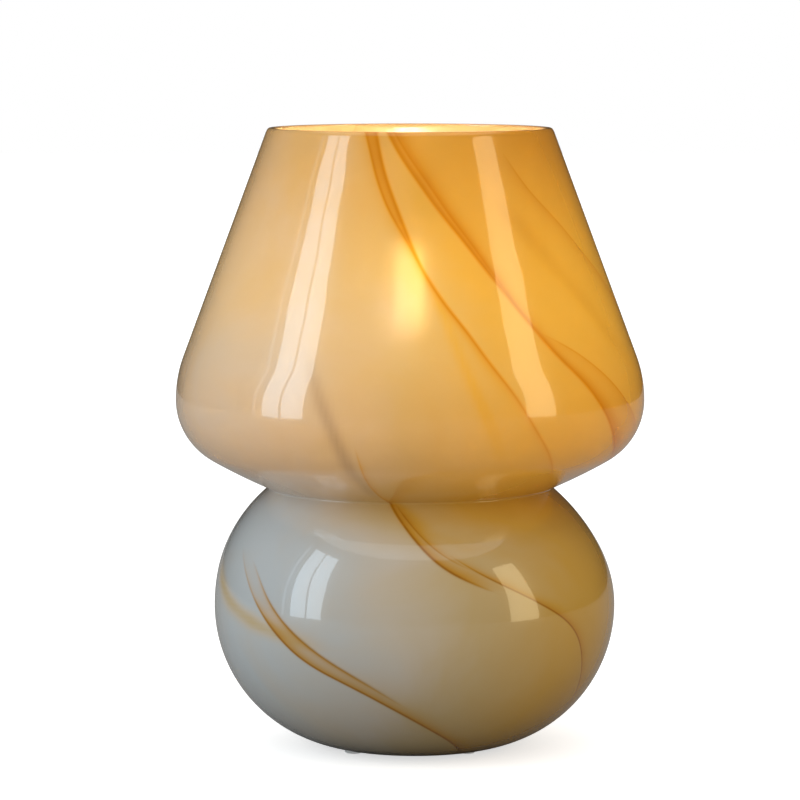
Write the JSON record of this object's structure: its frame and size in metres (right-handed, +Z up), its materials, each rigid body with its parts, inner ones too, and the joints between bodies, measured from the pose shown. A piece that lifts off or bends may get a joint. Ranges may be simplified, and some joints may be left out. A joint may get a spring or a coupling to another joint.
{
  "type": "mushroom table lamp",
  "caption": "Mushroom table lamp: one blown opal glass body with amber streaks, open on top, lit by a candle bulb in a holder on a disc in its waist.",
  "frame": {"origin": "on the table, under the middle of the lamp", "axes": "+Z up along the lamp's axis, -Y to the front as pictured, cable inlet at the back on +Y"},
  "size_m": [0.18, 0.18, 0.2378],
  "materials": {
    "opal_glass": "blown opal glass with amber streaks, fire-polished",
    "clear_silicone": "clear soft bumper",
    "black_rubber": "matt black rubber",
    "white_steel": "white powder coat",
    "grey_silicone": "translucent white silicone",
    "zinc_steel": "bright zinc plate",
    "holder_plastic": "white moulded thermoplastic",
    "core_ceramic": "unglazed white steatite",
    "brass": "bright brass",
    "solder": "soft solder",
    "black_glass": "black cap glass",
    "nickel_cap": "nickel plate",
    "bulb_glass": "clear blown glass",
    "filament": "lit phosphor-coated LED stick",
    "board": "green circuit board",
    "chips": "driver parts"
  },
  "bodies": {
    "lamp": {"glass_body": "opal_glass", "foot_pads": "clear_silicone", "cable_grommet": "black_rubber", "carrier_disc": "white_steel", "edge_seal": "grey_silicone", "threaded_tube": "zinc_steel", "lock_washer": "zinc_steel", "lock_nut": "zinc_steel", "holder_cap": "holder_plastic", "holder_skirt": "holder_plastic", "holder_core": "core_ceramic", "locking_screw": "zinc_steel", "thread_shell": "brass", "centre_contact": "brass", "side_contact": "brass", "terminal_blocks": "brass", "terminal_screws": "zinc_steel"},
    "bulb_thread": {"bulb_contact": "solder"},
    "bulb": {"bulb_insulator": "black_glass", "bulb_cap": "nickel_cap", "bulb_envelope": "bulb_glass", "bulb_stem": "bulb_glass", "bulb_filaments": "filament", "bulb_wires": "nickel_cap", "driver_board": "board", "driver_parts": "chips"}
  },
  "joints": [
    {"name": "bulb_rise", "type": "slide", "parent": "lamp", "child": "bulb_thread", "axis": [0, 0, 1], "range_m": [0, 0.01129]},
    {"name": "bulb_turn", "type": "hinge", "parent": "bulb_thread", "child": "bulb", "pos_m": [0, 0, 0.13], "axis": [0, 0, 1], "range_deg": [0, 1440]}
  ],
  "couplings": [
    {"joint": "bulb_turn", "follows": "bulb_rise", "rad_per_m": 2226.5}
  ]
}
